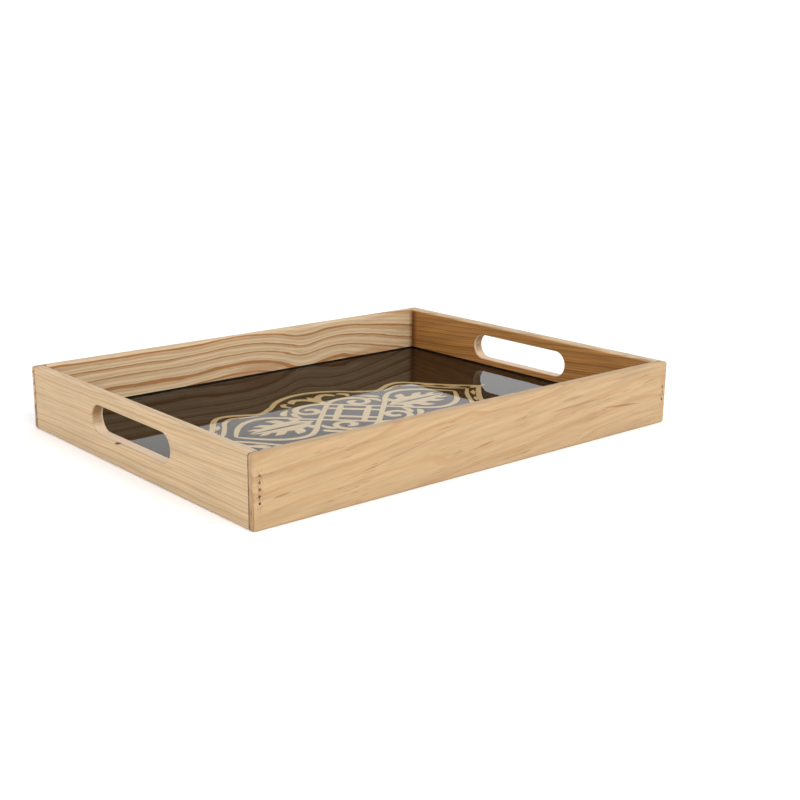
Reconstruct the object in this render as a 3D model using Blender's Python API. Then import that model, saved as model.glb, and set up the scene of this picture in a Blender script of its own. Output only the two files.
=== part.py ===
"""Wooden serving tray: four boards round a glass-topped panel, with a hand slot in each short board.

Units are metres and +Z is up. The origin is the middle of the footprint, on the surface that the tray
stands on. X runs along the tray and Y runs across it, from the front rail to the back rail.
"""
import math

import bmesh
import bpy
from mathutils import Matrix, Vector

# Overall sizes
TRAY_LENGTH = 0.400
TRAY_WIDTH = 0.300
TRAY_HEIGHT = 0.050

# Boards
RAIL_THICKNESS = 0.008       # the long boards, front and back
END_THICKNESS = 0.0095       # the short boards, which have the hand slots
LAP_LIP = 0.005              # rail wood that covers the end of a short board
EDGE_RADIUS = 0.002          # sanded rounding on the boards' outer edges
EDGE_SEGMENTS = 4

# Panel: a stiff board, a printed sheet and a glass pane, all caught in one groove
GROOVE_DEPTH = 0.004
GROOVE_FLOOR = 0.006         # height of the groove's lower face above the ground
BASE_THICKNESS = 0.003
PRINT_THICKNESS = 0.0004
GLASS_THICKNESS = 0.0025
SHADOW_GAP = 0.001           # open height left in the groove over the glass

# Hand slots, with full-round ends
SLOT_LENGTH = 0.108
SLOT_ABOVE_GLASS = 0.006     # from the glass up to the slot's lower edge
SLOT_BELOW_RIM = 0.00975     # from the slot's upper edge up to the rim
SLOT_EDGE_RADIUS = 0.001
LEFT_SLOT_OFFSET = 0.0       # the slot's middle, measured from the tray's middle towards the back
RIGHT_SLOT_OFFSET = 0.003
SLOT_END_SEGMENTS = 16

# Brads, driven through the rails into the ends of the short boards
BRAD_SHANK_RADIUS = 0.0005
BRAD_HEAD_RADIUS = 0.0007
BRAD_HEAD_THICKNESS = 0.0004
BRAD_LENGTH = 0.020
BRAD_SET_DEPTH = 0.0003      # how far the head sits below the rail's face
BRAD_ABOVE_GROOVE = 0.0042   # from the groove's upper face to the lowest brad of the close row
BRAD_SIDES = 12
# For each corner: how many brads, the step between them, and how much higher the lowest one sits
CORNER_BRADS = {
    ("front", "left"): (5, 0.0045, 0.0),
    ("front", "right"): (2, 0.010, 0.002),
    ("back", "left"): (2, 0.010, 0.002),
    ("back", "right"): (2, 0.010, 0.002),
}

# Clearances
FIT_GAP = 0.0003             # between touching pieces
CUT_OVERSHOOT = 0.002        # how far a cutter runs past the faces that it opens

# Places that follow from the sizes
HALF_LENGTH = TRAY_LENGTH / 2
HALF_WIDTH = TRAY_WIDTH / 2
INNER_X = HALF_LENGTH - END_THICKNESS
INNER_Y = HALF_WIDTH - RAIL_THICKNESS
GROOVE_X = INNER_X + GROOVE_DEPTH
GROOVE_Y = INNER_Y + GROOVE_DEPTH
BASE_BOTTOM = GROOVE_FLOOR + FIT_GAP
BASE_TOP = BASE_BOTTOM + BASE_THICKNESS
PRINT_BOTTOM = BASE_TOP + FIT_GAP
PRINT_TOP = PRINT_BOTTOM + PRINT_THICKNESS
GLASS_BOTTOM = PRINT_TOP + FIT_GAP
GLASS_TOP = GLASS_BOTTOM + GLASS_THICKNESS
GROOVE_TOP = GLASS_TOP + SHADOW_GAP
SLOT_BOTTOM = GLASS_TOP + SLOT_ABOVE_GLASS
SLOT_TOP = TRAY_HEIGHT - SLOT_BELOW_RIM
BRAD_X = HALF_LENGTH - END_THICKNESS / 2

SIDE_SIGN = {"left": -1, "right": 1, "front": -1, "back": 1}


def clear_scene():
    """Remove the objects of the scene that the script starts in."""
    for old in list(bpy.data.objects):
        bpy.data.objects.remove(old, do_unlink=True)


def make_material(name, colour, roughness, metallic=0.0):
    """A Principled material; colour is linear RGB."""
    material = bpy.data.materials.new(name)
    material.use_nodes = True
    shader = material.node_tree.nodes["Principled BSDF"]
    shader.inputs["Base Color"].default_value = (*colour, 1.0)
    shader.inputs["Roughness"].default_value = roughness
    shader.inputs["Metallic"].default_value = metallic
    return material


def add_object(name, bm, material=None):
    """Turn a bmesh into a named object of the scene."""
    bmesh.ops.recalc_face_normals(bm, faces=bm.faces)
    mesh = bpy.data.meshes.new(name)
    bm.to_mesh(mesh)
    bm.free()
    piece = bpy.data.objects.new(name, mesh)
    bpy.context.scene.collection.objects.link(piece)
    if material is not None:
        mesh.materials.append(material)
    return piece


def box_mesh(low, high):
    """A bmesh box between two corners."""
    size = Vector(high) - Vector(low)
    middle = (Vector(high) + Vector(low)) / 2
    bm = bmesh.new()
    bmesh.ops.create_cube(bm, size=1.0, matrix=Matrix.Translation(middle) @ Matrix.Diagonal((*size, 1.0)))
    return bm


def ease_edges(bm, chosen):
    """Round the edges for which chosen(middle, direction) is true."""
    edges = []
    for edge in bm.edges:
        start, end = (vertex.co for vertex in edge.verts)
        if chosen((start + end) / 2, (end - start).normalized()):
            edges.append(edge)
    bmesh.ops.bevel(bm, geom=edges, offset=EDGE_RADIUS, offset_type="OFFSET", segments=EDGE_SEGMENTS,
                    profile=0.5, affect="EDGES", clamp_overlap=True)


def loft_mesh(rings):
    """A closed bmesh body through rings of points, capped at both ends."""
    bm = bmesh.new()
    loops = [[bm.verts.new(point) for point in ring] for ring in rings]
    count = len(loops[0])
    for lower, upper in zip(loops, loops[1:]):
        for i in range(count):
            j = (i + 1) % count
            bm.faces.new((lower[i], lower[j], upper[j], upper[i]))
    bm.faces.new(reversed(loops[0]))
    bm.faces.new(loops[-1])
    return bm


def cut(piece, cutter_name, bm):
    """Cut a bmesh body out of a piece with a Boolean; the cutter stays as a hidden guide."""
    cutter = add_object(cutter_name, bm)
    cutter.hide_render = True
    cutter.display_type = "WIRE"
    modifier = piece.modifiers.new(cutter_name, "BOOLEAN")
    modifier.operation = "DIFFERENCE"
    modifier.solver = "EXACT"
    modifier.object = cutter


def brad_heights(front_or_back, left_or_right):
    """Heights of the brads at one corner."""
    count, step, lift = CORNER_BRADS[(front_or_back, left_or_right)]
    lowest = GROOVE_TOP + BRAD_ABOVE_GROOVE + lift
    return [lowest + i * step for i in range(count)]


def brad_ring(x, y, z, radius):
    """A ring of points round an axis that runs along Y."""
    angles = [2 * math.pi * i / BRAD_SIDES for i in range(BRAD_SIDES)]
    return [(x + radius * math.cos(a), y, z + radius * math.sin(a)) for a in angles]


def cut_brad_holes(piece, front_or_back, left_or_right):
    """Holes for one corner's brads, a fit gap wider and deeper than the brads themselves."""
    inward = -SIDE_SIGN[front_or_back]
    mouth = SIDE_SIGN[front_or_back] * (HALF_WIDTH + CUT_OVERSHOOT)
    face = SIDE_SIGN[front_or_back] * HALF_WIDTH
    head_floor = face + inward * (BRAD_SET_DEPTH + BRAD_HEAD_THICKNESS + FIT_GAP)
    bottom = face + inward * (BRAD_SET_DEPTH + BRAD_LENGTH + FIT_GAP)
    head_radius = BRAD_HEAD_RADIUS + FIT_GAP
    shank_radius = BRAD_SHANK_RADIUS + FIT_GAP
    x = SIDE_SIGN[left_or_right] * BRAD_X
    for number, z in enumerate(brad_heights(front_or_back, left_or_right), start=1):
        rings = [
            brad_ring(x, mouth, z, head_radius),
            brad_ring(x, head_floor, z, head_radius),
            brad_ring(x, head_floor, z, shank_radius),
            brad_ring(x, bottom, z, shank_radius),
        ]
        name = f"cut_{piece.name}_{front_or_back}_{left_or_right}_hole_{number}"
        cut(piece, name, loft_mesh(rings))


def make_rail(front_or_back, material):
    """A long board: rabbeted over both short boards, and grooved for the panel."""
    side = SIDE_SIGN[front_or_back]
    outer = side * HALF_WIDTH
    inner = side * INNER_Y
    bm = box_mesh((-HALF_LENGTH, min(outer, inner), 0), (HALF_LENGTH, max(outer, inner), TRAY_HEIGHT))

    def is_eased(middle, direction):
        along_rail = abs(direction.x) > 0.5
        at_end = abs(middle.x) > INNER_X
        on_outer_face = abs(middle.y - outer) < EDGE_RADIUS
        return along_rail or (at_end and (on_outer_face or abs(direction.y) > 0.5))

    ease_edges(bm, is_eased)
    rail = add_object(f"{front_or_back}_rail", bm, material)

    lip_face = side * (HALF_WIDTH - LAP_LIP)
    past_inner = side * (INNER_Y - CUT_OVERSHOOT)
    for left_or_right in ("left", "right"):
        shoulder = SIDE_SIGN[left_or_right] * (INNER_X - FIT_GAP)
        past_end = SIDE_SIGN[left_or_right] * (HALF_LENGTH + CUT_OVERSHOOT)
        low = (min(shoulder, past_end), min(lip_face, past_inner), -CUT_OVERSHOOT)
        high = (max(shoulder, past_end), max(lip_face, past_inner), TRAY_HEIGHT + CUT_OVERSHOOT)
        cut(rail, f"cut_{rail.name}_{left_or_right}_rabbet", box_mesh(low, high))
        cut_brad_holes(rail, front_or_back, left_or_right)

    groove_face = side * GROOVE_Y
    low = (-GROOVE_X, min(groove_face, past_inner), GROOVE_FLOOR)
    high = (GROOVE_X, max(groove_face, past_inner), GROOVE_TOP)
    cut(rail, f"cut_{rail.name}_groove", box_mesh(low, high))


def slot_ring(x, middle_y, grow):
    """The hand slot's outline at one depth, made wider all round by grow."""
    middle_z = (SLOT_TOP + SLOT_BOTTOM) / 2
    end_radius = (SLOT_TOP - SLOT_BOTTOM) / 2
    half_straight = SLOT_LENGTH / 2 - end_radius
    radius = end_radius + grow
    ring = []
    for end, first_angle in ((1, -math.pi / 2), (-1, math.pi / 2)):
        for i in range(SLOT_END_SEGMENTS + 1):
            angle = first_angle + math.pi * i / SLOT_END_SEGMENTS
            y = middle_y + end * half_straight + radius * math.cos(angle)
            ring.append((x, y, middle_z + radius * math.sin(angle)))
    return ring


def cut_hand_slot(board, left_or_right, middle_y):
    """Cut the slot through a short board, with both its edges rounded over."""
    side = SIDE_SIGN[left_or_right]
    mouth = []
    for i in range(EDGE_SEGMENTS + 1):
        angle = math.pi / 2 * i / EDGE_SEGMENTS
        depth = SLOT_EDGE_RADIUS * (1 - math.cos(angle))
        grow = SLOT_EDGE_RADIUS * (1 - math.sin(angle))
        mouth.append((depth, grow))
    outside = [(HALF_LENGTH + CUT_OVERSHOOT, SLOT_EDGE_RADIUS)]
    outside += [(HALF_LENGTH - depth, grow) for depth, grow in mouth]
    inside = [(INNER_X + depth, grow) for depth, grow in reversed(mouth)]
    inside += [(INNER_X - CUT_OVERSHOOT, SLOT_EDGE_RADIUS)]
    rings = [slot_ring(side * x, middle_y, grow) for x, grow in outside + inside]
    cut(board, f"cut_{board.name}_hand_slot", loft_mesh(rings))


def make_end_board(left_or_right, slot_offset, material):
    """A short board: fits between the rails' lips, grooved for the panel, with a hand slot."""
    side = SIDE_SIGN[left_or_right]
    outer = side * HALF_LENGTH
    inner = side * INNER_X
    half_span = HALF_WIDTH - LAP_LIP - FIT_GAP
    bm = box_mesh((min(outer, inner), -half_span, 0), (max(outer, inner), half_span, TRAY_HEIGHT))
    ease_edges(bm, lambda middle, direction: abs(direction.y) > 0.5)
    board = add_object(f"{left_or_right}_end_board", bm, material)

    groove_face = side * GROOVE_X
    past_inner = side * (INNER_X - CUT_OVERSHOOT)
    past_end = half_span + CUT_OVERSHOOT
    low = (min(groove_face, past_inner), -past_end, GROOVE_FLOOR)
    high = (max(groove_face, past_inner), past_end, GROOVE_TOP)
    cut(board, f"cut_{board.name}_groove", box_mesh(low, high))
    cut_hand_slot(board, left_or_right, slot_offset)
    for front_or_back in ("front", "back"):
        cut_brad_holes(board, front_or_back, left_or_right)


def make_panel_layer(name, bottom, top, material):
    """A flat sheet that reaches into the grooves of all four boards."""
    half_x = GROOVE_X - FIT_GAP
    half_y = GROOVE_Y - FIT_GAP
    add_object(name, box_mesh((-half_x, -half_y, bottom), (half_x, half_y, top)), material)


def make_brads(front_or_back, left_or_right, material):
    """The brads of one corner, each a turned body with a flat head."""
    inward = -SIDE_SIGN[front_or_back]
    head_face = SIDE_SIGN[front_or_back] * (HALF_WIDTH - BRAD_SET_DEPTH)
    head_back = head_face + inward * BRAD_HEAD_THICKNESS
    point_start = head_face + inward * (BRAD_LENGTH - 2 * BRAD_SHANK_RADIUS)
    point = head_face + inward * BRAD_LENGTH
    x = SIDE_SIGN[left_or_right] * BRAD_X
    for number, z in enumerate(brad_heights(front_or_back, left_or_right), start=1):
        rings = [
            brad_ring(x, head_face, z, BRAD_HEAD_RADIUS),
            brad_ring(x, head_back, z, BRAD_HEAD_RADIUS),
            brad_ring(x, head_back, z, BRAD_SHANK_RADIUS),
            brad_ring(x, point_start, z, BRAD_SHANK_RADIUS),
            brad_ring(x, point, z, BRAD_SHANK_RADIUS / 3),
        ]
        brad = add_object(f"{front_or_back}_{left_or_right}_brad_{number}", loft_mesh(rings), material)
        brad.data.shade_smooth()
        brad.data.set_sharp_from_angle(angle=math.radians(40))


def main():
    clear_scene()
    pale_wood = make_material("pale_wood", (0.66, 0.45, 0.27), 0.5)
    hardboard = make_material("hardboard", (0.20, 0.11, 0.05), 0.8)
    dark_print = make_material("dark_print", (0.03, 0.02, 0.012), 0.4)
    clear_glass = make_material("clear_glass", (0.85, 0.9, 0.88), 0.03)
    dull_steel = make_material("dull_steel", (0.25, 0.22, 0.2), 0.5, metallic=1.0)

    for front_or_back in ("front", "back"):
        make_rail(front_or_back, pale_wood)
    make_end_board("left", LEFT_SLOT_OFFSET, pale_wood)
    make_end_board("right", RIGHT_SLOT_OFFSET, pale_wood)
    make_panel_layer("base_board", BASE_BOTTOM, BASE_TOP, hardboard)
    make_panel_layer("print_sheet", PRINT_BOTTOM, PRINT_TOP, dark_print)
    make_panel_layer("glass_pane", GLASS_BOTTOM, GLASS_TOP, clear_glass)
    for front_or_back, left_or_right in CORNER_BRADS:
        make_brads(front_or_back, left_or_right, dull_steel)


main()
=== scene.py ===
# %% [markdown]
# # A wooden serving tray with a glass-topped panel
#
# Four pale boards stand round a dark panel. Each short board has a hand slot, and the panel is a printed
# sheet under glass. The CAD model gives the exact sizes and places. This lesson makes the looks: solid
# wood with real grain, the raised gold ornament, the glass, the brads and the studio around them.

# %% Load the CAD model
import math

import bpy
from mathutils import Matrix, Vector


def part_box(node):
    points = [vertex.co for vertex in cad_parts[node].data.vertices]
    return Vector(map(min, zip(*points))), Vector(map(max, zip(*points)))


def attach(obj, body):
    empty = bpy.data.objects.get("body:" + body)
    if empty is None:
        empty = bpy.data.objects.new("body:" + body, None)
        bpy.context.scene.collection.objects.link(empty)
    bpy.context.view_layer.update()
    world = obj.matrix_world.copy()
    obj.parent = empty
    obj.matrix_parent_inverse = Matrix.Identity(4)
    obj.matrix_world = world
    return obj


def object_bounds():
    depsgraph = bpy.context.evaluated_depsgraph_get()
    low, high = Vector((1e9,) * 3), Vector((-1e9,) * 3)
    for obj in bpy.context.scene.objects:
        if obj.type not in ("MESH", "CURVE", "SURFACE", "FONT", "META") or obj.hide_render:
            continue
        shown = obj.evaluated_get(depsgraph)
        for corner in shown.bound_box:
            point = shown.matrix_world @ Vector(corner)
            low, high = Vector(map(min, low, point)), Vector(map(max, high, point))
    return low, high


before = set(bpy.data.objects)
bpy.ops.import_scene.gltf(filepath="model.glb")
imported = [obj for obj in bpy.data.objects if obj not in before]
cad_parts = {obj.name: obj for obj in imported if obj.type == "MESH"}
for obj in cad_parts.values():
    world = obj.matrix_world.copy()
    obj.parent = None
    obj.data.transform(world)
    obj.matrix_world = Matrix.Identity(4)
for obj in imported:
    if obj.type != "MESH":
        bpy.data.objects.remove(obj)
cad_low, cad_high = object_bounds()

MM = 0.001
print("tray, metres:", [round(v, 4) for v in Vector(cad_high) - Vector(cad_low)])

# %% [markdown]
# ## The camera
#
# A camera is easiest to place on a circle round the thing it looks at: an angle round the tray, an angle
# above the table and a distance. A small lens shift moves the tray off the middle of the picture without
# turning the camera, so upright edges stay nearly upright, as with a view camera.

# %% Camera
CAMERA_AZIMUTH = math.radians(-39.28)
CAMERA_ELEVATION = math.radians(15.88)
CAMERA_ROLL = math.radians(0.17)
CAMERA_DISTANCE = 1.0
SENSOR_WIDTH = 36.0
FOCAL_LENGTH = 56.6
LENS_SHIFT = (0.0594, 0.0309)

camera_data = bpy.data.cameras.new("studio_camera")
camera_data.sensor_width = SENSOR_WIDTH
camera_data.lens = FOCAL_LENGTH
camera_data.shift_x, camera_data.shift_y = LENS_SHIFT
camera = bpy.data.objects.new("studio_camera", camera_data)
bpy.context.scene.collection.objects.link(camera)
backwards = Vector((
    math.sin(CAMERA_AZIMUTH) * math.cos(CAMERA_ELEVATION),
    -math.cos(CAMERA_AZIMUTH) * math.cos(CAMERA_ELEVATION),
    math.sin(CAMERA_ELEVATION),
))
camera.location = backwards * CAMERA_DISTANCE
camera.rotation_euler = (-backwards).to_track_quat("-Z", "Y").to_euler()
camera.rotation_euler.rotate_axis("Z", CAMERA_ROLL)
bpy.context.scene.camera = camera
bpy.context.scene.view_settings.view_transform = "Standard"
print("camera stands at", [round(v, 3) for v in camera.location])

# %% [markdown]
# ## Building materials from nodes
#
# A material is a small network of nodes. Wiring it in code takes three steps each time: make a node, set
# its plain inputs, link the others. The helper below does all three in one call, so that the recipes
# further down read like sentences.


# %% A helper that wires nodes
class Recipe:
    """A node tree, and short ways to add nodes to it."""

    def __init__(self, name):
        self.material = bpy.data.materials.new(name)
        self.material.use_nodes = True
        self.tree = self.material.node_tree
        self.tree.nodes.clear()
        self.output = self.tree.nodes.new("ShaderNodeOutputMaterial")

    def node(self, kind, inputs=None, **settings):
        """Add a node; an input is a number, a colour or another node's output."""
        made = self.tree.nodes.new(kind)
        for name, value in settings.items():
            setattr(made, name, value)
        for name, value in (inputs or {}).items():
            if isinstance(value, bpy.types.NodeSocket):
                self.tree.links.new(value, made.inputs[name])
            else:
                made.inputs[name].default_value = value
        return made

    def calc(self, operation, first, second=0.0, clamp=False):
        """One step of arithmetic; a clamp keeps the result between 0 and 1."""
        made = self.node("ShaderNodeMath", {0: first, 1: second}, operation=operation, use_clamp=clamp)
        return made.outputs[0]

    def product(self, first, *others, clamp=False):
        """Multiply two or more numbers, from left to right."""
        for other in others[:-1]:
            first = self.calc("MULTIPLY", first, other)
        return self.calc("MULTIPLY", first, others[-1], clamp)

    def between(self, value, low, high):
        """1 where the value lies between low and high, and 0 elsewhere."""
        return self.product(self.calc("GREATER_THAN", value, low), self.calc("LESS_THAN", value, high))

    def ramp(self, factor, stops):
        """Turn a number into a colour, through (position, colour) stops."""
        made = self.node("ShaderNodeValToRGB", {0: factor})
        band = made.color_ramp
        while len(band.elements) < len(stops):
            band.elements.new(0.5)
        for element, (position, colour) in zip(band.elements, stops):
            element.position = position
            element.color = (*colour, 1.0)
        return made.outputs[0]

    def step(self, value, low, high):
        """Rise smoothly from 0 at low to 1 at high."""
        inputs = {"Value": value, "From Min": low, "From Max": high}
        return self.node("ShaderNodeMapRange", inputs, interpolation_type="SMOOTHSTEP").outputs[0]

    def blend(self, factor, first, second, kind="MIX"):
        """Mix two colours."""
        made = self.node("ShaderNodeMix", data_type="RGBA", blend_type=kind)
        for index, value in ((0, factor), (6, first), (7, second)):
            if isinstance(value, bpy.types.NodeSocket):
                self.tree.links.new(value, made.inputs[index])
            elif index == 0:
                made.inputs[index].default_value = value
            else:
                made.inputs[index].default_value = (*value, 1.0)
        return made.outputs[2]

    def tint(self, mask, colour, tone):
        """Multiply a colour by a tone, only where the mask is 1."""
        return self.blend(mask, colour, self.blend(1.0, colour, tone, "MULTIPLY"))

    def noise(self, vector, scale, detail=2.0, roughness=0.5):
        """Cloudy noise between 0 and 1."""
        inputs = {"Vector": vector, "Scale": scale, "Detail": detail, "Roughness": roughness}
        return self.node("ShaderNodeTexNoise", inputs).outputs["Fac"]

    def mapped(self, vector, location=(0, 0, 0), scale=(1, 1, 1)):
        """Move and stretch a position."""
        inputs = {"Vector": vector, "Location": location, "Scale": scale}
        return self.node("ShaderNodeMapping", inputs).outputs[0]

    def millimetres(self):
        """A point's own place on the tray, in millimetres."""
        place = self.node("ShaderNodeTexCoord").outputs["Object"]
        return self.mapped(place, scale=(1 / MM, 1 / MM, 1 / MM))

    def axes(self):
        """The same place as three separate numbers: x, y and z."""
        return self.node("ShaderNodeSeparateXYZ", {0: self.millimetres()}).outputs

    def finish(self, shader):
        """Wire the shader to the surface and hand the material over."""
        self.tree.links.new(shader.outputs[0], self.output.inputs["Surface"])
        return self.material


def give(piece, material):
    """Put one material on a piece."""
    piece.data.materials.clear()
    piece.data.materials.append(material)


# %% [markdown]
# ## Wood that runs through the board
#
# Grain painted on each face never lines up at the edges. Wood looks right when the pattern fills the solid:
# a tree's rings are nested tubes round its pith, and a board shows wherever its faces happen to cut them.
# So the recipe measures each point's distance from a pith line and counts the rings to there. The straight
# lines on one board, the arches on the next and the curves on an end all come out of the same few nodes.


# %% Rings round the pith
# How fine each noise is: waves per millimetre along the grain, across the board and up.
SLOW_DRIFT = (0.008, 0.03, 0.03)
QUICK_DRIFT = (0.030, 0.12, 0.12)
SUMMERS_SCALE = 0.6
# How dark the wood is through one year, as (part of the year, darkness).
YEAR_SHADES = [(0.0, 0.25), (0.07, 0.0), (0.50, 0.08), (0.80, 0.55), (0.90, 1.0), (0.97, 0.95), (1.0, 0.25)]
FALSE_RINGS_A_YEAR = 3.3


def hill(recipe, along, centre, width, height):
    """A smooth hill at one place along the board, all in millimetres."""
    away = recipe.calc("DIVIDE", recipe.calc("SUBTRACT", along, centre), width)
    falling = recipe.calc("EXPONENT", recipe.product(away, away, -1.0))
    return recipe.product(falling, height)


def board_axes(recipe, look):
    """Millimetres along the grain, across the board's thickness, and up, with the grain's own slope."""
    split = recipe.axes()
    along, across = (split[0], split[1]) if look["grain_axis"] == "X" else (split[1], split[0])
    climb = recipe.product(along, look["slope"])
    return along, across, recipe.calc("SUBTRACT", split[2], climb)


def ring_shade(recipe, along, across, height, look):
    """How dark each point is: 0 in a ring's pale early wood, 1 in its dense late wood."""
    place = recipe.node("ShaderNodeCombineXYZ", {0: along, 1: across, 2: height}).outputs[0]
    slow = recipe.noise(recipe.mapped(place, (look["seed"],) * 3, SLOW_DRIFT), 1.0)
    depth = recipe.calc("SUBTRACT", across, look["pith"][0])
    for centre, width, size in look["hills"]:
        depth = recipe.calc("ADD", depth, hill(recipe, along, centre, width, size))
    upward = recipe.calc("SUBTRACT", height, look["pith"][1])
    square = recipe.calc("ADD", recipe.product(depth, depth), recipe.product(upward, upward))
    radius = recipe.calc("ADD", recipe.calc("SQRT", square), recipe.product(slow, look["wobble"]))
    quick = recipe.noise(recipe.mapped(place, (look["seed"],) * 3, QUICK_DRIFT), 1.0, 3.0)
    radius = recipe.calc("ADD", radius, recipe.product(quick, look["ripple"]))
    years = recipe.calc("DIVIDE", radius, look["ring"])
    # Good and bad summers: the rings differ in width.
    inputs = {"W": years, "Scale": SUMMERS_SCALE}
    season = recipe.node("ShaderNodeTexNoise", inputs, noise_dimensions="1D").outputs["Fac"]
    years = recipe.calc("ADD", years, recipe.product(season, look["uneven"]))
    # Within a year the wood darkens slowly, and the next spring starts with a sharp edge.
    shades = [(part, (darkness,) * 3) for part, darkness in YEAR_SHADES]
    main = recipe.ramp(recipe.calc("FRACT", years), shades)
    # Growth also slows and quickens within a year, which leaves fainter lines between the rings.
    within = recipe.calc("SINE", recipe.product(years, 2 * math.pi * FALSE_RINGS_A_YEAR))
    within = recipe.product(recipe.calc("ADD", within, 1.0), look["false_rings"] / 2)
    return recipe.calc("ADD", main, within)


# %% [markdown]
# Finer marks lie over the rings. Fibres make long soft streaks, which noise stretched along the grain
# imitates. Resin canals that break the surface leave short reddish dashes: the same stretched noise, with
# only its peaks kept. The dashes come in patches, so a second, slower noise says where.


# %% Streaks and dashes
WIDE_STREAKS = (0.016, 0.30, 0.30)
THIN_STREAKS = (0.045, 1.3, 1.3)
DASH_GRAIN = (0.065, 1.35, 1.35)
PATCH_GRAIN = (0.02, 0.08, 0.08)
DASH_PEAKS = (0.62, 0.74)
PATCH_PEAKS = (0.42, 0.62)


def streak_shade(recipe, place, look):
    """Long soft streaks, some millimetres thick, and finer ones."""
    wide = recipe.noise(recipe.mapped(place, (look["seed"], 0, 0), WIDE_STREAKS), 1.0)
    thin = recipe.noise(recipe.mapped(place, (0, look["seed"], 0), THIN_STREAKS), 1.0)
    return wide, thin


def dash_shade(recipe, place, look):
    """Short reddish dashes in loose patches."""
    marks = recipe.noise(recipe.mapped(place, (0, 0, look["seed"]), DASH_GRAIN), 1.0, 1.0)
    patches = recipe.noise(recipe.mapped(place, (0, 9, look["seed"]), PATCH_GRAIN), 1.0, 1.0)
    return recipe.product(recipe.step(marks, *DASH_PEAKS), recipe.step(patches, *PATCH_PEAKS), look["dashes"])


def leaf_mark(recipe, along, height, thin, middle, level, half_length, half_width, slope, strength):
    """One slanting, leaf-shaped mark, such as a split; its level is measured along the board's surface."""
    step_along = recipe.calc("SUBTRACT", along, middle)
    spine = recipe.calc("ADD", recipe.product(step_along, slope), level)
    rise = recipe.calc("SUBTRACT", height, spine)
    far = recipe.calc("DIVIDE", step_along, half_length)
    off = recipe.calc("ABSOLUTE", recipe.calc("DIVIDE", rise, half_width))
    edge = recipe.calc("ADD", recipe.product(far, far), off)
    edge = recipe.calc("ADD", edge, recipe.calc("SUBTRACT", thin, 0.5))
    return recipe.product(recipe.calc("SUBTRACT", 1.0, recipe.step(edge, 0.35, 1.1)), strength)


# %% [markdown]
# Where two boards meet, glue and dust have gathered in the seam, and the end grain beside it has drunk
# more oil and is darker and redder. The brads have torn the fibres round them. All of it follows from the
# place on the tray, so every board can share the one function.

# %% Marks at the joints
LAP_LIP = 5.0
END_X = cad_high[0] / MM
END_Y = cad_high[1] / MM
JOINT_Y = END_Y - LAP_LIP
BRAD_X = sum(corner[0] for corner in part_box("front_right_brad_1")) / 2 / MM
RAGGED_GRAIN = (1.1, 1.1, 0.25)
SEAM_HALF_WIDTH = 0.55
SEAM_ZONE = (END_X - 12.0, END_X - 10.0)
END_GRAIN_EDGE = (END_X - 0.9, END_X - 0.1)
TEAR_HALF_WIDTH = 1.9
TEAR_LEVEL = 27.0
TEAR_HALF_HEIGHT = 13.0
print("joint at y, brads at x, millimetres:", round(JOINT_Y, 2), round(BRAD_X, 2))


def joint_marks(recipe, split):
    """Three masks: dirt in the corner seams, dark end grain, and torn wood round the brads."""
    x = recipe.calc("ABSOLUTE", split[0])
    y = recipe.calc("ABSOLUTE", split[1])
    ragged = recipe.noise(recipe.mapped(recipe.millimetres(), scale=RAGGED_GRAIN), 1.0, 3.0)
    near_end = recipe.step(x, *SEAM_ZONE)
    line = hill(recipe, y, JOINT_Y, SEAM_HALF_WIDTH, 1.0)
    seam = recipe.product(line, near_end, recipe.step(ragged, 0.25, 0.55), clamp=True)
    in_rail = recipe.step(y, JOINT_Y - 0.1, JOINT_Y)
    end_grain = recipe.product(recipe.step(x, *END_GRAIN_EDGE), in_rail)
    column = hill(recipe, x, BRAD_X, TEAR_HALF_WIDTH, 1.0)
    level = hill(recipe, split[2], TEAR_LEVEL, TEAR_HALF_HEIGHT, 1.0)
    torn = recipe.product(column, recipe.step(ragged, 0.48, 0.62), level, in_rail)
    return seam, end_grain, torn


# %% [markdown]
# Some places are painted with the light and shade they would get. The groove that holds the panel is painted
# dark as shade, which draws a crisp dark line round the glass. The upper walls of the slots are painted
# darker as shade, more towards the top, and the slots' edges and floors get a painted highlight. The inner
# corners are painted darker below the rim, as shade.

# %% Painted shade and highlights in the groove, slots and corners
SHADOW_GAP = 1.0
GROOVE_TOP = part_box("glass_pane")[1][2] / MM + SHADOW_GAP
GROOVE_DEPTH = 4.0
GROOVE_HEIGHT = 8.0
MARGIN = 0.1
INNER_X = -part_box("left_end_board")[1][0] / MM
INNER_Y = -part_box("front_rail")[1][1] / MM
SLOT_REACH = 60.0
SLOT_BAND = (16.0, 44.0)
# painted shade on the slot walls grows between these heights
SLOT_SHADE_RISE = (20.0, 36.0)
# painted highlight on the slot floors and edges: where it fades on the floors, and its strength on the edges
SLOT_FLOOR_FALL = (26.0, 20.0)
EDGE_HIGHLIGHT = 0.65
# painted shade in the inner corners: its reach across, and the heights where it fades in below the rim
CORNER_SHADE_REACH = (6.0, 8.0)
BELOW_RIM = (49.5, 46.0)
print("groove's top and inner faces, millimetres:", [round(v, 2) for v in (GROOVE_TOP, INNER_X, INNER_Y)])


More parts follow.
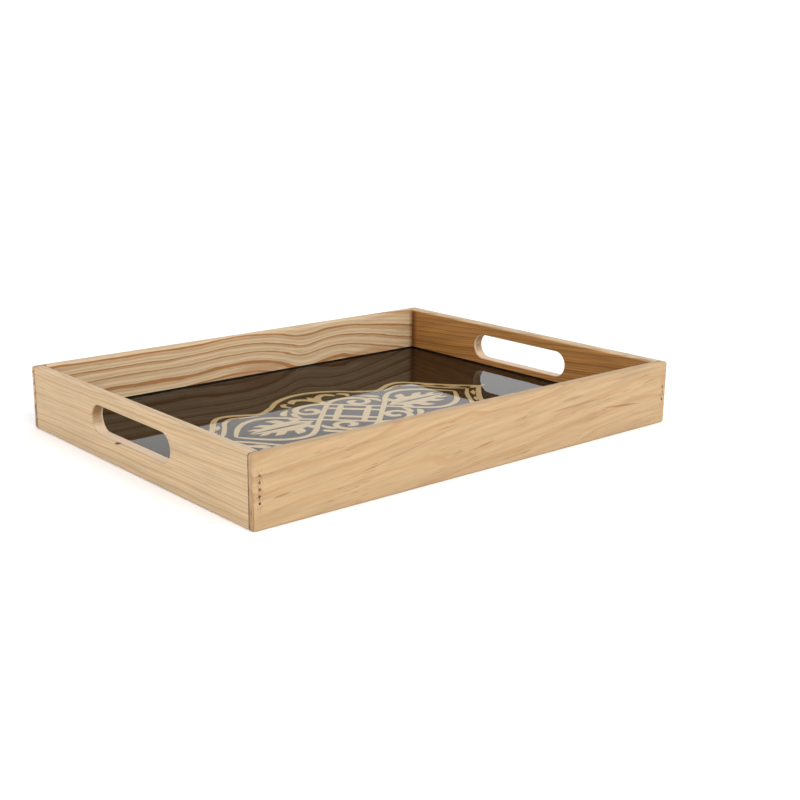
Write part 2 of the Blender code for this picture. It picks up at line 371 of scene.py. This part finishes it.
def shade_and_highlight_masks(recipe, split):
    """Four masks of painted light: shade in the groove, shade on the upper slot walls, highlights on the
    slots' edges and floors, and shade in the inner corners.
    """
    x = recipe.calc("ABSOLUTE", split[0])
    y = recipe.calc("ABSOLUTE", split[1])
    z = split[2]
    inside = recipe.product(recipe.calc("LESS_THAN", x, INNER_X + GROOVE_DEPTH + MARGIN),
                            recipe.calc("LESS_THAN", y, INNER_Y + GROOVE_DEPTH + MARGIN))
    # painted shade: the groove above the glass, to be painted nearly black
    groove = recipe.product(inside, recipe.between(z, GROOVE_TOP - GROOVE_HEIGHT, GROOVE_TOP + MARGIN))

    at_slot = recipe.product(recipe.calc("LESS_THAN", y, SLOT_REACH), recipe.between(z, *SLOT_BAND))
    wall = recipe.product(recipe.step(x, INNER_X + 0.8, INNER_X + 1.8),
                          recipe.step(x, END_X - 0.6, END_X - 1.8))
    # painted shade: the upper walls of the slots, darker towards the top
    shaded_slot_wall = recipe.product(wall, at_slot, recipe.step(z, *SLOT_SHADE_RISE))
    # painted highlight: the slots' eased inner edges and their floors are painted paler, as lit
    edge = recipe.product(recipe.step(x, INNER_X + 0.05, INNER_X + 0.25),
                          recipe.step(x, INNER_X + 1.9, INNER_X + 1.1))
    slot_floor = recipe.product(wall, recipe.step(z, *SLOT_FLOOR_FALL))
    lit_slot_parts = recipe.calc("ADD", recipe.product(edge, EDGE_HIGHLIGHT), slot_floor, clamp=True)
    slot_highlight = recipe.product(lit_slot_parts, at_slot)

    # painted shade: the inner corners, darker below the rim
    corner = recipe.product(
        recipe.step(x, INNER_X - CORNER_SHADE_REACH[0], INNER_X),
        recipe.step(y, INNER_Y - CORNER_SHADE_REACH[1], INNER_Y),
        recipe.calc("LESS_THAN", x, INNER_X + 1.0),
        recipe.calc("LESS_THAN", y, INNER_Y + 1.0),
        recipe.step(z, *BELOW_RIM),
    )
    return groove, shaded_slot_wall, slot_highlight, corner


# %% [markdown]
# The recipe now goes through a board's life in order. First comes the tree: early and late wood, streaks and
# dashes. Then comes the workshop: end grain and torn fibres. Last comes use: dirt in the seams. Between them
# come painted light and shade: a darker inner face on the right board, painted shade on the upper slot walls,
# in the inner corners, towards the foot and in the groove, and painted highlights on the slots' edges and
# floors. Each layer covers the one before it only where its mask says so. A very shallow bump from the same
# patterns keeps the surface from looking printed.

# %% The whole wood recipe
REDDISH = (0.21, 0.085, 0.034)
GREYISH = (0.190, 0.140, 0.090)
SEAM_DIRT = (0.050, 0.022, 0.012)
# painted shade and painted highlight: the next four colours paint the groove's shade, the slot walls' shade,
# the slots' highlights and the corners' shade
GROOVE_SHADE = (0.016, 0.010, 0.006)
SLOT_WALL_SHADE = (0.62, 0.52, 0.42)
SLOT_HIGHLIGHT_TONE = (0.66, 0.50, 0.35)
CORNER_SHADE = (0.50, 0.38, 0.28)
SHADED_FOOT = (0.91, 0.91, 0.92)
FOOT_HEIGHT = 16.0
THIN_TONES = [(0.3, (0.94, 0.92, 0.89)), (0.7, (1.04,) * 3)]
END_GRAIN_TONES = [(0.42, (0.50, 0.30, 0.22)), (0.50, (0.84, 0.72, 0.66)), (0.64, (1.0, 0.96, 0.96))]
END_GRAIN_LINES = (0.0, 0.8, 0.06)
END_GRAIN_FADE = (12.0, 32.0)
# painted shade on an inner face fades out between these heights, below the rim
FACE_SHADE_BELOW = (49.3, 48.3)
RELIEF = 0.15 * MM


def wood(name, **look):
    """Solid oiled softwood.

    The look says how the board was cut and coloured. Lengths are in millimetres.
    grain_axis, slope: the way the grain runs, and how much it climbs
    pith: how far the tree's centre lies across the board and up
    ring, uneven: the width of a year's ring, and how much the years differ
    wobble, ripple, false_rings: slow and quick waves in the rings, and lines between them
    hills: (place along the board, width, depth) of the bulges in the trunk that make arches
    early, late, ring_strength: the two colours of a ring, and how strongly they show
    streaks, dashes: how strong the finer marks are
    seed: shifts the noise, so that no two boards share a pattern
    marks: (place along, level, half length, half width, slope, strength, colour) of single marks
    heartwood: painted shade on the inner face below the rim: its early and late colours, and the depths where
    they start and are full
    """
    recipe = Recipe(name)
    along, across, height = board_axes(recipe, look)
    place = recipe.node("ShaderNodeCombineXYZ", {0: along, 1: across, 2: height}).outputs[0]
    rings = ring_shade(recipe, along, across, height, look)
    wide, thin = streak_shade(recipe, place, look)
    dashes = dash_shade(recipe, place, look)
    split = recipe.axes()
    z = split[2]

    # the tree
    late = recipe.product(rings, recipe.calc("ADD", wide, 0.5), look["ring_strength"], clamp=True)
    colour = recipe.blend(late, look["early"], look["late"])
    # painted shade: where this is given, the inner face below the rim is painted in darker, browner colours
    if "heartwood" in look:
        shade_early, shade_late, start, end = look["heartwood"]
        heart = recipe.blend(late, shade_early, shade_late)
        on_inner_face = recipe.product(recipe.step(across, start, end), recipe.step(z, *FACE_SHADE_BELOW))
        colour = recipe.blend(on_inner_face, colour, heart)
    low = 1.0 - look["streaks"]
    high = 1.0 + look["streaks"] * 0.6
    wide_tone = recipe.ramp(wide, [(0.3, (low,) * 3), (0.7, (high,) * 3)])
    colour = recipe.blend(1.0, colour, wide_tone, "MULTIPLY")
    colour = recipe.blend(1.0, colour, recipe.ramp(thin, THIN_TONES), "MULTIPLY")
    colour = recipe.blend(dashes, colour, REDDISH)

    # the workshop and use, with painted shade and highlights
    seam, end_grain, torn = joint_marks(recipe, split)
    groove, shaded_slot_wall, slot_highlight, corner = shade_and_highlight_masks(recipe, split)
    lines = recipe.noise(recipe.mapped(recipe.millimetres(), scale=END_GRAIN_LINES), 1.0)
    lines = recipe.calc("ADD", lines, recipe.product(recipe.step(z, *END_GRAIN_FADE), 0.22))
    colour = recipe.tint(end_grain, colour, recipe.ramp(lines, END_GRAIN_TONES))
    colour = recipe.blend(torn, colour, REDDISH)
    # painted shade on the upper slot walls
    colour = recipe.tint(shaded_slot_wall, colour, SLOT_WALL_SHADE)
    # painted shade in the inner corners
    colour = recipe.tint(corner, colour, CORNER_SHADE)
    colour = recipe.tint(recipe.step(z, FOOT_HEIGHT, 0.0), colour, SHADED_FOOT)
    # painted highlight on the slots' edges and floors
    colour = recipe.blend(slot_highlight, colour, SLOT_HIGHLIGHT_TONE)

    # Single marks follow the surface over the top edge, so their level is the height plus the way back
    # from the outer face.
    outer = END_Y if look["grain_axis"] == "X" else END_X
    behind = recipe.calc("SUBTRACT", outer, recipe.calc("ABSOLUTE", across))
    unfolded = recipe.calc("ADD", z, behind)
    for *shape, mark_colour in look.get("marks", []):
        colour = recipe.blend(leaf_mark(recipe, along, unfolded, thin, *shape), colour, mark_colour)
    colour = recipe.blend(seam, colour, SEAM_DIRT)
    # painted shade in the groove round the glass
    colour = recipe.blend(groove, colour, GROOVE_SHADE)

    relief = recipe.calc("SUBTRACT", recipe.product(thin, 0.6), recipe.calc("ADD", dashes, torn))
    relief = recipe.calc("SUBTRACT", relief, recipe.product(rings, 0.3))
    bump = recipe.node("ShaderNodeBump", {"Height": relief, "Strength": 0.35, "Distance": RELIEF})
    return recipe.finish(recipe.node("ShaderNodeBsdfPrincipled", {
        "Base Color": colour, "Normal": bump.outputs[0], "Specular IOR Level": 0.2,
        "Roughness": recipe.calc("ADD", recipe.product(thin, 0.25), 0.42),
    }))


# %% [markdown]
# ## Four boards from four trees
#
# The boards don't match, which is what makes the tray look real. The front board is plain and honey
# coloured, cut so that its rings hardly show. The back board is flat-sawn, with broad brown arches on its
# inner face. The left board has fine level rings, and the right one's inner face is painted dark brown as
# shade. In the recipe an arch is a hill in the pith line's distance.

# %% Wood for each board
PATCH = (0.37, 0.180, 0.082)

front_wood = wood(
    "front_wood", grain_axis="X", pith=(-40.0, -95.0), slope=0.09, ring=11.0, uneven=1.4, wobble=26.0,
    ripple=4.0, false_rings=0.3, hills=[], early=(0.410, 0.282, 0.155), late=(0.325, 0.190, 0.088),
    ring_strength=0.48, streaks=0.12, dashes=0.60, seed=3.1,
    marks=[
        (95.0, 32.0, 34.0, 1.0, 0.03, 0.60, GREYISH), (88.0, 38.0, 15.0, 1.5, 0.06, 0.50, GREYISH),
        (160.0, 46.0, 36.0, 1.5, 0.04, 0.45, GREYISH), (-178.0, 20.0, 9.0, 0.8, 0.10, 0.70, REDDISH),
        (-2.0, 19.5, 11.0, 0.9, 0.14, 0.65, REDDISH), (145.0, 23.0, 26.0, 0.9, -0.07, 0.70, REDDISH),
        (-75.0, 29.0, 62.0, 0.8, 0.19, 0.35, REDDISH),
    ],
)
back_wood = wood(
    "back_wood", grain_axis="X", pith=(122.0, -10.0), slope=0.0, ring=8.0, uneven=1.6, wobble=3.5, ripple=3.0,
    false_rings=0.35, hills=[(-10.0, 35.0, -8.0), (58.0, 27.0, 10.0), (215.0, 100.0, 22.0)],
    early=(0.565, 0.432, 0.272), late=(0.310, 0.145, 0.052), ring_strength=1.0, streaks=0.08, dashes=0.25,
    seed=7.7,
    marks=[(10.0, 25.0, 34.0, 6.5, -0.02, 0.55, PATCH), (140.0, 23.5, 27.0, 4.8, -0.05, 0.60, PATCH)],
)
left_wood = wood(
    "left_wood", grain_axis="Y", pith=(-150.0, -160.0), slope=-0.012, ring=2.7, uneven=1.6, wobble=7.0,
    ripple=1.8, false_rings=0.25, hills=[], early=(0.530, 0.392, 0.240), late=(0.425, 0.275, 0.140),
    ring_strength=0.80, streaks=0.13, dashes=0.30, seed=12.3,
    marks=[(16.5, 18.3, 5.5, 1.6, -0.27, 1.0, SEAM_DIRT)],
)
right_wood = wood(
    "right_wood", grain_axis="Y", pith=(240.0, -70.0), slope=-0.07, ring=4.0, uneven=2.0, wobble=4.5,
    ripple=1.6, false_rings=0.6, hills=[], early=(0.530, 0.390, 0.250), late=(0.420, 0.265, 0.140),
    ring_strength=0.80, streaks=0.26, dashes=0.25, seed=18.9,
    # painted shade: the inner face below the rim is painted dark brown
    heartwood=((0.445, 0.215, 0.062), (0.255, 0.100, 0.020), 192.4, 190.9),
)
for node, material in (("front_rail", front_wood), ("back_rail", back_wood),
                       ("left_end_board", left_wood), ("right_end_board", right_wood)):
    give(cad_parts[node], material)
print("wood materials:", [m.name for m in (front_wood, back_wood, left_wood, right_wood)])

# %% [markdown]
# ## The printed sheet and the board under it
#
# The sheet is nearly black brown and slightly cloudy, as ink on card is. The hardboard beneath it shows
# only from below, where it has the fine screen pattern that the press leaves on its rough side.

# %% Printed sheet
DARK_INK = [(0.3, (0.018, 0.009, 0.004)), (0.7, (0.026, 0.014, 0.007))]

recipe = Recipe("dark_ink")
cloud = recipe.noise(recipe.millimetres(), 0.08, 4.0)
give(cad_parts["print_sheet"], recipe.finish(recipe.node("ShaderNodeBsdfPrincipled", {
    "Base Color": recipe.ramp(cloud, DARK_INK), "Roughness": 0.8, "Specular IOR Level": 0.0,
})))
print("sheet:", recipe.material.name)

# %% Hardboard
SCREEN_PITCH = 1.6
FIBRE_GRAIN = (0.5, 1.5, 1.0)
FIBRE_BROWNS = [(0.3, (0.13, 0.065, 0.030)), (0.7, (0.27, 0.15, 0.075))]

recipe = Recipe("pressed_hardboard")
split = recipe.axes()
turns = 2 * math.pi / SCREEN_PITCH
waves = [recipe.calc("SINE", recipe.product(axis, turns)) for axis in (split[0], split[1])]
fibre = recipe.noise(recipe.mapped(recipe.millimetres(), scale=FIBRE_GRAIN), 1.0, 5.0, 0.65)
screen = recipe.product(waves[0], waves[1], 0.25)
bump = recipe.node("ShaderNodeBump", {
    "Height": recipe.calc("ADD", screen, fibre), "Strength": 0.6, "Distance": 0.2 * MM,
})
give(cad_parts["base_board"], recipe.finish(recipe.node("ShaderNodeBsdfPrincipled", {
    "Base Color": recipe.ramp(fibre, FIBRE_BROWNS), "Roughness": 0.85, "Normal": bump.outputs[0],
})))
print("base:", recipe.material.name)

# %% [markdown]
# ## The brads
#
# A brad is a thin wire nail with a small head, punched just below the surface. Only the head shows, as a
# dark spot of dull steel with a little rust. The upper heads were stopped with brown filler, which has worn
# off the lower ones. All the brads share one material, and each point's height says how much filler is left.

# %% Steel brads
RUST = [(0.35, (0.05, 0.025, 0.015)), (0.7, (0.16, 0.11, 0.08))]
FILLER = (0.200, 0.110, 0.055)
FILLER_RISE = (19.0, 33.0)

recipe = Recipe("dull_steel")
rust = recipe.ramp(recipe.noise(recipe.millimetres(), 2.5, 3.0), RUST)
filler = recipe.step(recipe.axes()[2], *FILLER_RISE)
steel = recipe.finish(recipe.node("ShaderNodeBsdfPrincipled", {
    "Base Color": recipe.blend(filler, rust, FILLER),
    "Metallic": recipe.product(recipe.calc("SUBTRACT", 1.0, filler), 0.7), "Roughness": 0.6,
}))
brads = [node for name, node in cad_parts.items() if "_brad_" in name]
for brad in brads:
    give(brad, steel)
print("brads:", len(brads))

# %% [markdown]
# ## The glass
#
# Real glass mirrors from both of its faces, and in a thin pane the two images all but fall together. So
# one mirror is enough, on the top face of a see-through pane. It grows stronger at low angles, as Fresnel's
# law says. A coating takes off nearly half of it, and an index below real glass's 1.5 keeps it weak from
# above, so that the print shows clearly there.

# %% Glass pane
COATING = 0.55
GLASS_IOR = 1.3
GLASS_TINT = (0.97, 0.98, 0.97, 1.0)

recipe = Recipe("pane_glass")
face = recipe.node("ShaderNodeNewGeometry").outputs
up = recipe.node("ShaderNodeSeparateXYZ", {0: face["Normal"]}).outputs[2]
# Seen from inside the pane a face's normal is turned round, so the lower face would pass for the top one.
top_face = recipe.calc("SUBTRACT", recipe.calc("GREATER_THAN", up, 0.5), face["Backfacing"], clamp=True)
fresnel = recipe.node("ShaderNodeFresnel", {"IOR": GLASS_IOR}).outputs[0]
mirror = recipe.product(fresnel, COATING, top_face)
give(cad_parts["glass_pane"], recipe.finish(recipe.node("ShaderNodeMixShader", {
    0: mirror,
    1: recipe.node("ShaderNodeBsdfTransparent", {"Color": GLASS_TINT}).outputs[0],
    2: recipe.node("ShaderNodeBsdfGlossy", {"Color": (1.0, 1.0, 1.0, 1.0), "Roughness": 0.015}).outputs[0],
})))
print("glass:", recipe.material.name, "nodes:", len(recipe.tree.nodes))

# %% [markdown]
# ## The gold ornament
#
# The print is a medallion of straps, scrolls and leaves. Every line of it is a stroke that swells and
# tapers, like a brush mark, so each one is a curve whose radius changes from point to point. The pattern
# has two mirror lines, so only a quarter is drawn, and the rest comes from flipped copies of its points.
# One strand does most of the work. It leaves the tip of one loop, crosses at the middle and ends in a
# scroll on the other side. A point is (x, y, half of the width), in millimetres from the tray's middle.

# %% Strokes of the ornament
QUARTER_STROKES = [
    # the outer band's shoulder, and the thinner band inside it
    [(40, 51, 0.8), (45, 50, 2.1), (52, 45, 2.3), (61, 42, 2.3), (71, 46, 2.3), (82, 51, 2.3),
     (93, 51.5, 2.3), (103, 43, 2.4), (112, 30, 2.4), (126, 14, 2.4), (140, 0.5, 1.9)],
    [(64, 36.5, 0.5), (74, 40.5, 1.6), (86, 43.5, 1.9), (95, 38.5, 1.9), (104, 26, 1.9), (114, 12.5, 1.9),
     (126, 0.5, 1.3)],
    # drops between the two bands
    [(104, 34.5, 0.4), (108.5, 28.5, 2.0), (112, 24, 0.4)],
    [(116, 19, 0.4), (121, 12.5, 2.2), (126, 7.5, 0.4)],
    # the strand: loop, crossing and scroll
    [(-111, -0.4, 1.3), (-103, -11, 2.1), (-93, -22, 2.3), (-80, -29.5, 2.4), (-66, -30, 2.4),
     (-53, -21.5, 2.3), (-42.5, -10, 2.2), (-33, -0.5, 2.1), (-17, 15.5, 2.1), (-1, 31, 2.1),
     (8, 37.5, 2.3), (20, 39, 2.7), (31, 34, 2.8), (34.5, 25, 2.6), (29, 17, 2.4), (20.5, 18.5, 2.6),
     (19, 26, 3.4), (24.5, 28, 2.4), (26, 26, 0.4)],
    # the broad straps inside the diamond
    [(-8.0, 24, 2.2), (8, 8, 2.8), (24, -8.0, 2.2)],
    # the finial's side curls
    [(1, 43, 2.4), (4.5, 51, 2.8), (10, 56.5, 2.9), (16, 57.5, 3.2), (20.5, 53.5, 3.1), (21, 49.5, 0.6)],
    # half of a loop's leaf: its body beside the dark vein, and its lobes
    [(44, 2.6, 1.2), (53, 5.8, 4.2), (64, 6.6, 5.2), (75, 5.6, 4.3), (86, 3.4, 2.5), (98, 1.0, 0.4)],
    [(50, 8, 3.0), (48.5, 13.5, 3.9), (50.5, 19.5, 1.0)], [(61, 10, 3.6), (64, 16.5, 4.3), (69.5, 21, 0.8)],
    [(74, 8.5, 3.0), (79.5, 12.5, 3.4), (85.5, 14.5, 0.7)], [(85, 5, 2.2), (90, 7.2, 2.3), (95.5, 7.8, 0.5)],
    # small leaves that fill the field
    [(37, 37, 1.0), (43, 33, 2.6), (47.5, 26.5, 2.8), (47, 24, 0.5)],
    [(41, 13, 1.0), (41.5, 19, 2.6), (39.5, 25, 2.6), (38, 28, 0.5)],
    [(29, 42, 0.9), (32, 47.5, 2.5), (29, 52.5, 2.2), (25, 53, 0.4)],
]
LOBE = [(48, 45, 0.8), (42, 51.5, 2.2), (30, 62, 2.3), (16, 69, 2.3), (0, 71.5, 2.3)]
STEM = [(0, 33, 3.4), (0, 41, 3.2), (0, 48, 3.6), (0, 55, 3.0), (0, 60, 0.3)]
AXIS_STROKES = [
    [(39, 0, 1.4), (43, 0, 2.8), (48, 0, 1.0), (60, 0, 0.3)],
    [(130, 0, 1.0), (134, 0, 2.6), (141, 0, 2.0), (148, 0, 0.3)],
]


def flipped(stroke, x_sign, y_sign):
    """The same stroke on another side of the mirror lines."""
    return [(x * x_sign, y * y_sign, half) for x, y, half in stroke]


strokes = [flipped(s, x_sign, y_sign) for s in QUARTER_STROKES for x_sign in (1, -1) for y_sign in (1, -1)]
strokes += [flipped(s, x_sign, 1) for s in AXIS_STROKES for x_sign in (1, -1)]
whole_lobe = LOBE + flipped(LOBE[-2::-1], -1, 1)
strokes += [flipped(s, 1, y_sign) for s in (whole_lobe, STEM) for y_sign in (1, -1)]
print("ornament strokes:", len(strokes))

# %% [markdown]
# A curve with a bevel becomes a round tube. Flattened to three hundredths of its height it is a low, domed
# ribbon, which stands up to a fifth of a millimetre above the sheet, as thick ink does. The dome helps
# twice: it catches the light along its middle, and where two strokes cross they meet in a clean line.

# %% Gold ornament
FLATNESS = 0.03
INK_LIFT = 0.02 * MM
GOLD_INK = [(0.3, (0.35, 0.210, 0.062)), (0.65, (0.46, 0.305, 0.115))]

bpy.ops.object.select_all(action="DESELECT")
bpy.ops.curve.primitive_bezier_curve_add(location=(0, 0, 0))
ornament = bpy.context.active_object
ornament.name = "gold_ornament"
curve = ornament.data
curve.splines.clear()
curve.bevel_depth = MM
curve.bevel_resolution = 2
curve.resolution_u = 6
curve.use_fill_caps = True
for stroke in strokes:
    spline = curve.splines.new("BEZIER")
    spline.bezier_points.add(len(stroke) - 1)
    for point, (x, y, half) in zip(spline.bezier_points, stroke):
        point.co = (x * MM, y * MM, 0.0)
        point.radius = half
        point.handle_left_type = point.handle_right_type = "AUTO"
bpy.ops.object.convert(target="MESH")
ornament = bpy.context.active_object
print_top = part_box("print_sheet")[1][2]
ornament.scale = (1, 1, FLATNESS)
ornament.location = (0, 0, print_top + INK_LIFT)
bpy.ops.object.transform_apply(location=True, rotation=True, scale=True)
bpy.ops.object.shade_smooth_by_angle(angle=math.radians(40))

recipe = Recipe("gold_ink")
rubbed = recipe.noise(recipe.millimetres(), 0.35, 4.0)
give(ornament, recipe.finish(recipe.node("ShaderNodeBsdfPrincipled", {
    "Base Color": recipe.ramp(rubbed, GOLD_INK), "Metallic": 0.15,
    "Roughness": recipe.calc("ADD", recipe.product(rubbed, 0.3), 0.3),
})))
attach(ornament, "root")
print("ornament faces:", len(ornament.data.polygons))

# %% [markdown]
# ## The studio
#
# The floor is a light table, white paint that also glows faintly, so it stays white right up to the tray.
# The light comes from everywhere, most strongly from low down all around. A large soft lamp in front lifts
# the faces that look that way, which models the boards without hard shadows.

# %% Floor
FLOOR_SIZE = 12.0
TABLE_GLOW = 0.07

bpy.ops.object.select_all(action="DESELECT")
bpy.ops.mesh.primitive_plane_add(size=FLOOR_SIZE, location=(0, 0, 0))
floor = bpy.context.active_object
floor.name = "studio_floor"
recipe = Recipe("studio_white")
give(floor, recipe.finish(recipe.node("ShaderNodeBsdfPrincipled", {
    "Base Color": (0.95, 0.95, 0.95, 1.0), "Roughness": 0.9, "Specular IOR Level": 0.0,
    "Emission Color": (1.0, 1.0, 1.0, 1.0), "Emission Strength": TABLE_GLOW,
})))
print("floor, metres across:", FLOOR_SIZE)

# %% Light all around
LOW_LIGHT = 2.2
HIGH_LIGHT = 0.8
FADE_FROM = 0.25
FADE_TO = 0.45

world = bpy.data.worlds.new("studio")
world.use_nodes = True
sky = world.node_tree
direction = sky.nodes.new("ShaderNodeTexCoord")
split_sky = sky.nodes.new("ShaderNodeSeparateXYZ")
fade = sky.nodes.new("ShaderNodeMapRange")
fade_range = {"From Min": FADE_FROM, "From Max": FADE_TO, "To Min": LOW_LIGHT, "To Max": HIGH_LIGHT}
for socket, value in fade_range.items():
    fade.inputs[socket].default_value = value
background = sky.nodes["Background"]
background.inputs["Color"].default_value = (1.0, 1.0, 1.0, 1.0)
sky.links.new(direction.outputs["Generated"], split_sky.inputs[0])
sky.links.new(split_sky.outputs[2], fade.inputs["Value"])
sky.links.new(fade.outputs[0], background.inputs["Strength"])
bpy.context.scene.world = world
print("light from low down and from above:", LOW_LIGHT, HIGH_LIGHT)

# %% The soft lamp in front
LAMP_WATTS = 40.0
LAMP_SIZE = 2.0
LAMP_PLACE = (-0.2, -2.1, 1.5)

lamp = bpy.data.lights.new("front_softbox", "AREA")
lamp.size = LAMP_SIZE
lamp.energy = LAMP_WATTS
softbox = bpy.data.objects.new("front_softbox", lamp)
bpy.context.scene.collection.objects.link(softbox)
softbox.location = LAMP_PLACE
softbox.rotation_euler = softbox.location.to_track_quat("Z", "Y").to_euler()
print("lamp, watts and metres across:", LAMP_WATTS, LAMP_SIZE)
